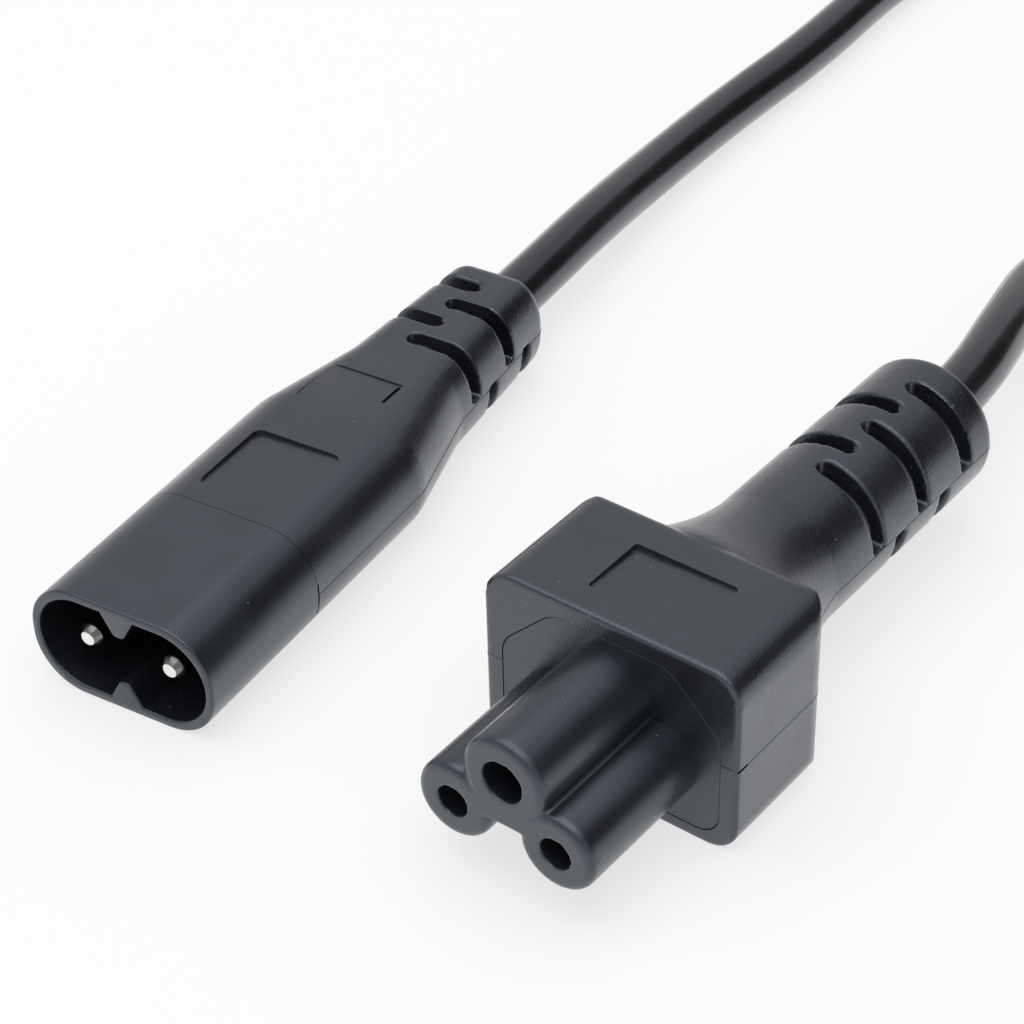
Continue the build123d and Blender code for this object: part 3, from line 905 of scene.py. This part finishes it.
class Value:
    """A number that varies over a surface, as the output socket that carries it."""

    def __init__(self, finish, socket):
        self.finish = finish
        self.socket = socket

    def math(self, operation, first, second=0.0):
        return self.finish.node("ShaderNodeMath", {"operation": operation}, {0: first, 1: second})

    def __add__(self, other):
        return self.math("ADD", self, other)

    def __radd__(self, other):
        return self.math("ADD", other, self)

    def __sub__(self, other):
        return self.math("SUBTRACT", self, other)

    def __rsub__(self, other):
        return self.math("SUBTRACT", other, self)

    def __mul__(self, other):
        return self.math("MULTIPLY", self, other)

    def __rmul__(self, other):
        return self.math("MULTIPLY", other, self)

    def above(self, edge):
        return self.math("GREATER_THAN", self, edge)

    def below(self, edge):
        return self.math("LESS_THAN", self, edge)


class Finish:
    """A material with a Principled shader, and short ways to add nodes to it."""

    def __init__(self, name, colour, roughness, **constants):
        self.material = bpy.data.materials.new(name)
        self.material.use_nodes = True
        self.tree = self.material.node_tree
        self.shader = self.tree.nodes["Principled BSDF"]
        self.set("Base Color", (*colour, 1))
        self.set("Roughness", roughness)
        for socket, value in constants.items():
            self.set(socket.replace("_", " "), value)

    def set(self, socket, value):
        """Sets or links one socket of the main shader."""
        self.plug(self.shader.inputs[socket], value)

    def plug(self, socket, value):
        if isinstance(value, Value):
            self.tree.links.new(value.socket, socket)
        else:
            socket.default_value = value

    def node(self, kind, settings, inputs, output=0):
        """Adds a node: its settings first, then the values or links of its sockets."""
        made = self.tree.nodes.new(kind)
        for name, value in settings.items():
            setattr(made, name, value)
        for name, value in inputs.items():
            self.plug(made.inputs[name], value)
        return Value(self, made.outputs[output])

    def place(self, turn=0.0):
        """A point's place on the piece, in metres, turned about the upright."""
        spot = self.node("ShaderNodeTexCoord", {}, {}, "Object")
        if turn:
            spot = self.node("ShaderNodeMapping", {}, {"Vector": spot, "Rotation": (0, 0, turn)})
        return spot

    def noise(self, spot, size, detail=2.0, roughness=0.5):
        """Soft noise whose lumps are about size across."""
        inputs = {"Vector": spot, "Scale": 1 / size, "Detail": detail, "Roughness": roughness}
        return self.node("ShaderNodeTexNoise", {"noise_dimensions": "3D"}, inputs)

    def pits(self, spot, size):
        """The distance to the nearest of many scattered points, about size apart."""
        return self.node("ShaderNodeTexVoronoi", {"feature": "F1"}, {"Vector": spot, "Scale": 1 / size})

    def range(self, value, low, high, to_low=0.0, to_high=1.0):
        """A value's stretch from low to high, mapped on to another stretch and held there."""
        inputs = {"Value": value, "From Min": low, "From Max": high}
        inputs.update({"To Min": to_low, "To Max": to_high})
        return self.node("ShaderNodeMapRange", {"clamp": True}, inputs)

    def mix(self, factor, first, second):
        """A colour between two colours."""
        settings = {"data_type": "RGBA"}
        return self.node("ShaderNodeMix", settings, {0: factor, 6: first, 7: second}, 2)

    def bump(self, height, depth):
        """Raises the surface by height, whose whole range is depth deep."""
        inputs = {"Height": height, "Distance": depth, "Strength": 1.0}
        self.set("Normal", self.node("ShaderNodeBump", {}, inputs))


print("shader helpers ready")

# %% [markdown]
# ## Black plastics
# The soft mouldings are PVC from a spark-eroded mould: satin, with a fine even grain, a slightly blue
# black, and pale dust specks. The nose and the plug's shell are harder and smoother. The cord's sheath
# comes out of a die, so it has no grain but only faint cloudy changes of gloss, and it shines more.

# %% Black plastics
SHEEN = (0.66, 0.80, 1.0, 1)
DUST_SPACING = 1.5 * MM
DUST_PATCHES = 2.5 * MM
DUST_RADIUS = 0.05
DUST_GREY = (0.35, 0.36, 0.38, 1)


def grained_black(name, colour, roughness, coat_roughness, grain, depth):
    """A dark moulded plastic with an even fine grain, cloudy wear and a little dust."""
    gloss = {"IOR": 1.75, "Specular_Tint": SHEEN, "Coat_Weight": 0.6, "Coat_Roughness": coat_roughness}
    finish = Finish(name, colour, roughness, **gloss)
    spot = finish.place()
    cloud = finish.noise(spot, 6 * MM, 3.0)
    fine = finish.noise(spot, grain, 3.0, 0.6)
    coarse = finish.noise(spot, 3.2 * grain, 1.0)
    dust = finish.pits(spot, DUST_SPACING).below(DUST_RADIUS) * finish.noise(spot, DUST_PATCHES).above(0.5)
    lighter = tuple(1.25 * part for part in colour)
    darker = tuple(0.82 * part for part in colour)
    tone = finish.mix(finish.range(cloud, 0.3, 0.7), (*darker, 1), (*lighter, 1))
    finish.set("Base Color", finish.mix(dust * 0.5, tone, DUST_GREY))
    worn = finish.range(cloud, 0.3, 0.7, roughness - 0.05, roughness + 0.06)
    finish.set("Roughness", worn + 0.10 * (fine - 0.5))
    finish.bump(fine * 0.65 + coarse * 0.35 + dust * 0.6, depth)
    return finish.material


def drawn_black(name, colour, roughness):
    """The cord's sheath: smooth, with faint cloudy changes of gloss."""
    gloss = {"IOR": 1.6, "Specular_Tint": SHEEN, "Coat_Weight": 0.7, "Coat_Roughness": 0.18}
    finish = Finish(name, colour, roughness, **gloss)
    spot = finish.place()
    cloud = finish.noise(spot, 5 * MM, 3.0)
    fine = finish.noise(spot, 0.25 * MM, 2.0)
    darker = tuple(0.7 * part for part in colour)
    finish.set("Base Color", finish.mix(finish.range(cloud, 0.35, 0.65), (*darker, 1), (*colour, 1)))
    finish.set("Roughness", finish.range(cloud, 0.3, 0.7, roughness - 0.04, roughness + 0.05))
    finish.bump(fine * 0.4 + cloud * 0.6, 0.02 * MM)
    return finish.material


SOFT_BLACK = (0.0105, 0.0100, 0.0120)
HARD_BLACK = (0.0095, 0.0100, 0.0130)
CORD_BLACK = (0.0100, 0.0080, 0.0085)
soft_black = grained_black(
    "soft_black", SOFT_BLACK, roughness=0.30, coat_roughness=0.22, grain=0.20 * MM, depth=0.06 * MM
)
hard_black = grained_black(
    "hard_black", HARD_BLACK, roughness=0.36, coat_roughness=0.32, grain=0.16 * MM, depth=0.012 * MM
)
cord_black = drawn_black("cord_black", CORD_BLACK, 0.27)
print("blacks:", soft_black.name, hard_black.name, cord_black.name)

# %% [markdown]
# ## Metals
# The pins are nickel plated and turned. Only their cut ends keep the bright plate colour: the cone and the
# sides are painted darker, as painted shade from the recess round them. The coordinates are turned along
# the pins, so that one comparison tells the two apart.
# The spring contacts deep in the nose are plain brass, and show only as a glint.

# %% Metals
BRIGHT_NICKEL = (0.90, 0.88, 0.85, 1)
# The darker colour behind the cut end is painted shade from the recess round the pins
PAINTED_SHADE_NICKEL = (0.22, 0.215, 0.21, 1)
BRASS = (0.76, 0.62, 0.34)
CUT_END_DEPTH = 0.06


def bright_metal(name, colour, roughness):
    """A turned and plated metal with a little stain."""
    finish = Finish(name, colour, roughness, Metallic=1.0)
    spot = finish.place()
    stain = finish.noise(spot, 0.8 * MM, 3.0)
    finish.set("Roughness", finish.range(stain, 0.35, 0.65, roughness - 0.06, roughness + 0.08))
    finish.bump(finish.noise(spot, 0.12 * MM, 2.0), 0.0015 * MM)
    return finish


plated = bright_metal("nickel_plate", BRIGHT_NICKEL[:3], 0.20)
along = plated.node("ShaderNodeSeparateXYZ", {}, {"Vector": plated.place(-PLUG_YAW)}, "Y")
turn_back = Matrix.Rotation(-PLUG_YAW, 4, "Z")
cut_end = (turn_back @ PLUG_PLACE @ Vector((0, PIN_FRONT + CUT_END_DEPTH, 0))).y
# Behind the cut end the cone and the sides get the darker colour: painted shade from the recess, not a
# dulled plate
plated.set("Base Color", plated.mix(along.below(cut_end), PAINTED_SHADE_NICKEL, BRIGHT_NICKEL))
nickel = plated.material
brass = bright_metal("spring_brass", BRASS, 0.35).material
print("metals:", nickel.name, brass.name)

# %% [markdown]
# ## Table finish
# The table is white and matt. The photograph shows hardly any shadow on it. So here the camera and the
# reflections see a share of plain white in it, and only the rest is its own shaded white. All other
# light meets an ordinary matt white.

# %% Table finish
TABLE_WHITE = 0.95
TABLE_GLOW = 0.7
CARD_BLACK = 0.02


def glowing_table(name, white, glow):
    """Matt white, with a share of plain white for the rays of the camera and of reflections."""
    finish = Finish(name, (white,) * 3, 0.9)
    seen = finish.node("ShaderNodeLightPath", {}, {}, "Is Camera Ray")
    for ray in ("Is Glossy Ray", "Is Transmission Ray"):
        seen = seen.math("MAXIMUM", seen, finish.node("ShaderNodeLightPath", {}, {}, ray))
    white_light = finish.tree.nodes.new("ShaderNodeEmission")
    mixed = finish.tree.nodes.new("ShaderNodeMixShader")
    output = finish.tree.nodes["Material Output"]
    finish.plug(mixed.inputs[0], seen * glow)
    finish.tree.links.new(finish.shader.outputs[0], mixed.inputs[1])
    finish.tree.links.new(white_light.outputs[0], mixed.inputs[2])
    finish.tree.links.new(mixed.outputs[0], output.inputs["Surface"])
    return finish.material


floor.data.materials.append(glowing_table("table_white", TABLE_WHITE, TABLE_GLOW))
card.data.materials.append(Finish("card_black", (CARD_BLACK,) * 3, 0.9).material)


def make_room(grey):
    """An even pale room round the table."""
    world = bpy.data.worlds.new("room")
    world.use_nodes = True
    background = world.node_tree.nodes["Background"]
    background.inputs["Color"].default_value = (1, 1, 1, 1)
    background.inputs["Strength"].default_value = grey
    return world


scene.world = make_room(ROOM_GREY)
print("room grey:", ROOM_GREY)

# %% [markdown]
# ## Finishes on the pieces
# Each piece gets its material here. So do the brass contacts, whose meshes stay as the frame has them.

# %% Finishes on the pieces
FINISHES = {
    soft_black: [overmould, plug_body],
    hard_black: [carrier, shell],
    cord_black: [cord],
    nickel: [bpy.data.objects["line_prong"], bpy.data.objects["neutral_prong"]],
    brass: [frame["nodes"]["line_socket_contact"], frame["nodes"]["neutral_socket_contact"]],
}
for material, pieces in FINISHES.items():
    for piece in pieces:
        piece.data.materials.clear()
        piece.data.materials.append(material)
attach(cord, "root")
print("finished pieces:", sum(len(pieces) for pieces in FINISHES.values()))
